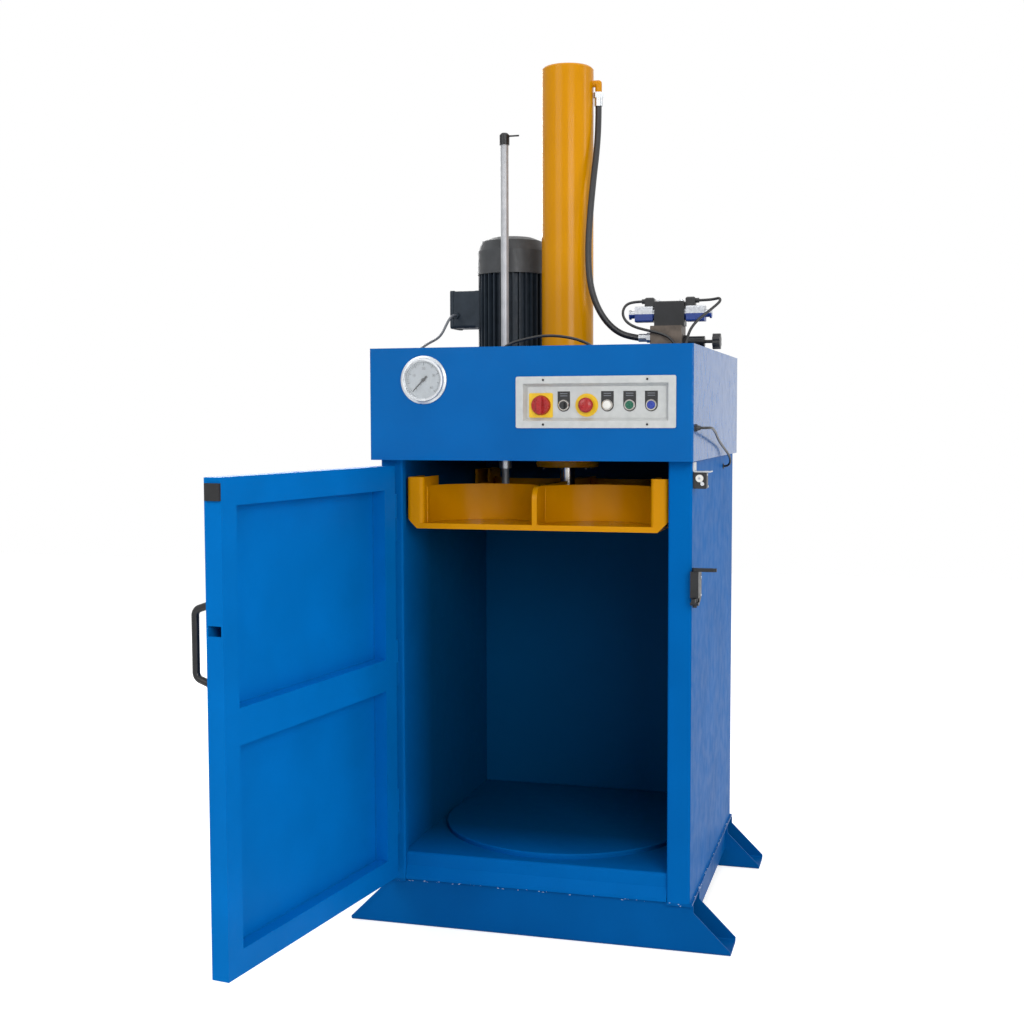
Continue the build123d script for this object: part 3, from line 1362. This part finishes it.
def control_panel():
    """Moulded panel: a proud frame round a sloped tray, whose floor carries the controls."""
    frame = extrude(RectangleRounded(*PANEL_SIZE, 5), -PANEL_PROUD)
    shell = frame
    wall = 2 * PANEL_SHEET
    shell += tray(
        (PANEL_OPENING[0] + wall, PANEL_OPENING[1] + wall),
        (PANEL_FLOOR[0] + wall, PANEL_FLOOR[1] + wall),
        PANEL_DEPTH + PANEL_SHEET,
    )
    shell -= tray(PANEL_OPENING, PANEL_FLOOR, PANEL_DEPTH)
    panel = facing_front(shell, PANEL_X, PANEL_FACE, up(PANEL_HEIGHT))
    through = (PANEL_FLOOR_Y - 1, PANEL_FLOOR_Y + PANEL_SHEET + 1)
    hole = BUTTON_RADIUS + SLIDE_GAP
    for x in (SELECTOR_X, STOP_X, *BUTTON_XS):
        panel -= bar_y(x, through, CONTROLS_Z, hole)
    return panel - bar_y(MAIN_SWITCH_X, through, CONTROLS_Z, SHAFT_PIN + RUN_FIT)


def on_floor(shape, x):
    """Put a control on the tray's floor, its face towards the front."""
    return facing_front(shape, x, PANEL_FLOOR_Y, CONTROLS_Z)


def cover_plates():
    """Square yellow plate behind the main switch, round one behind the emergency stop."""
    square = extrude(RectangleRounded(MAIN_PLATE, MAIN_PLATE, 4), COVER_PLATE)
    square -= bar(0, 0, (0, COVER_PLATE), SHAFT_PIN + RUN_FIT)
    disc = bar(0, 0, (0, COVER_PLATE), STOP_PLATE_RADIUS)
    disc -= bar(0, 0, (0, COVER_PLATE), BUTTON_RADIUS + SLIDE_GAP)
    return Compound([on_floor(square, MAIN_SWITCH_X), on_floor(disc, STOP_X)])


def main_switch():
    """Red rotary switch: a round boss with the grip that is turned by a quarter."""
    foot = COVER_PLATE + SLIDE_GAP
    knob = turned([(0, foot), (MAIN_KNOB_RADIUS, foot), (MAIN_KNOB_RADIUS - 3, foot + 10), (0, foot + 10)])
    grip = extrude(SlotOverall(2 * MAIN_KNOB_RADIUS - 8, 14), 14)
    knob += Pos(0, 0, foot + 9) * Rot(0, 0, 90) * grip
    knob += bar(0, 0, (-PANEL_SHEET - 6, foot), SHAFT_PIN)
    return on_floor(knob, MAIN_SWITCH_X)


def stop_button():
    """Mushroom button on its stem."""
    under = COVER_PLATE + STOP_TRAVEL + 1
    head = turned([
        (0, under),
        (MUSHROOM_RADIUS - 4, under),
        (MUSHROOM_RADIUS, under + 5),
        (MUSHROOM_RADIUS, under + 9),
        (MUSHROOM_RADIUS - 4, under + 14),
        (MUSHROOM_RADIUS - 11, under + 16),
        (0, under + 16.5),
    ])
    return on_floor(head + bar(0, 0, (-PANEL_SHEET - 6, under), BUTTON_RADIUS), STOP_X)


def button_bezels():
    """Chromed ring round the selector and each push button."""
    rings = []
    for x in (SELECTOR_X, *BUTTON_XS):
        ring = bar(0, 0, (0, BEZEL_HEIGHT), BEZEL_RADIUS)
        ring = chamfer(ring.edges().group_by(Axis.Z)[-1], 1.5)
        rings.append(on_floor(ring - bar(0, 0, (0, BEZEL_HEIGHT), BUTTON_RADIUS + SLIDE_GAP), x))
    return Compound(rings)


def push_button(x):
    """Plain cap that slides in its bezel."""
    cap = bar(0, 0, (-PANEL_SHEET - 4, BEZEL_HEIGHT + BUTTON_TRAVEL - 1), BUTTON_RADIUS)
    return on_floor(chamfer(cap.edges().group_by(Axis.Z)[-1], 1), x)


def selector_knob():
    """Turned base with a narrow grip bar."""
    knob = bar(0, 0, (-PANEL_SHEET - 4, BEZEL_HEIGHT + 3), BUTTON_RADIUS)
    bar_grip = extrude(SlotOverall(2 * BUTTON_RADIUS - 2, 7), 10)
    return on_floor(knob + Pos(0, 0, BEZEL_HEIGHT + 3) * Rot(0, 0, 90) * bar_grip, SELECTOR_X)


def parts():
    """Every node of the press under its name."""
    side = right_side_wall()
    nodes = {
        "front_skid": skid(FRONT_SKID_Y),
        "rear_skid": skid(REAR_SKID_Y),
        "base_frame": base_frame(),
        "floor_plate": floor_plate(),
        "drum_seat": drum_seat(),
        "right_side_wall": side,
        "left_side_wall": mirror(side, Plane.YZ),
        "rear_wall": rear_wall(),
        "deck_plate": deck_plate(),
        "head_shell": head_shell(),
        "cylinder_tube": cylinder_tube(),
        "cylinder_gland": cylinder_gland(),
        "piston_rod": piston_rod(),
        "piston": piston(),
        "platen": platen(),
        "guide_rod": guide_rod(),
        "guide_bush": guide_bush(),
        "rod_stop": rod_stop(),
        "door": door(),
        "door_handle": door_handle(),
        "door_striker": door_striker(),
        "hinge_blocks": hinge_blocks(),
        "hinge_pins": hinge_pins(),
        "latch_body": latch_body(),
        "latch_lever": latch_lever(),
        "switch_bracket": switch_bracket(),
        "limit_switch": limit_switch(),
        "limit_arm": limit_arm(),
        "limit_roller": limit_roller(),
        "oil_tank": oil_tank(),
        "motor_body": motor_body(),
        "motor_rotor": motor_rotor(),
        "motor_fan": motor_fan(),
        "fan_cowl": fan_cowl(),
        "terminal_box": terminal_box(),
        "hydraulic_pump": hydraulic_pump(),
        "valve_manifold": valve_manifold(),
        "directional_valve": directional_valve(),
        "solenoids": solenoids(),
        "valve_plugs": valve_plugs(),
        "relief_valve": relief_valve(),
        "relief_knob": relief_knob(),
        "hose_fittings": hose_fittings(),
        "pressure_hose": tube(HOSE_ROUTE, HOSE_RADIUS),
        "motor_cable": tube(MOTOR_CABLE_ROUTE, CABLE_RADIUS),
        "valve_cables": Compound([
            tube(LEFT_PLUG_ROUTE, LEAD_RADIUS),
            tube(RIGHT_PLUG_ROUTE, LEAD_RADIUS),
            tube(FRONT_LEAD_ROUTE, LEAD_RADIUS),
        ]),
        "cable_gland": cable_gland(),
        "side_cable": tube(SIDE_CABLE_ROUTE, SIDE_CABLE_RADIUS),
        "gauge_case": gauge_case(),
        "gauge_glass": gauge_glass(),
        "gauge_needle": gauge_needle(),
        "control_panel": control_panel(),
        "cover_plates": cover_plates(),
        "main_switch": main_switch(),
        "stop_button": stop_button(),
        "button_bezels": button_bezels(),
        "selector_knob": selector_knob(),
    }
    for name, x in zip(("white_button", "green_button", "blue_button"), BUTTON_XS):
        nodes[name] = push_button(x)
    return nodes


os.makedirs("parts", exist_ok=True)
for node, solid in parts().items():
    export_step(solid, f"parts/{node}.step")
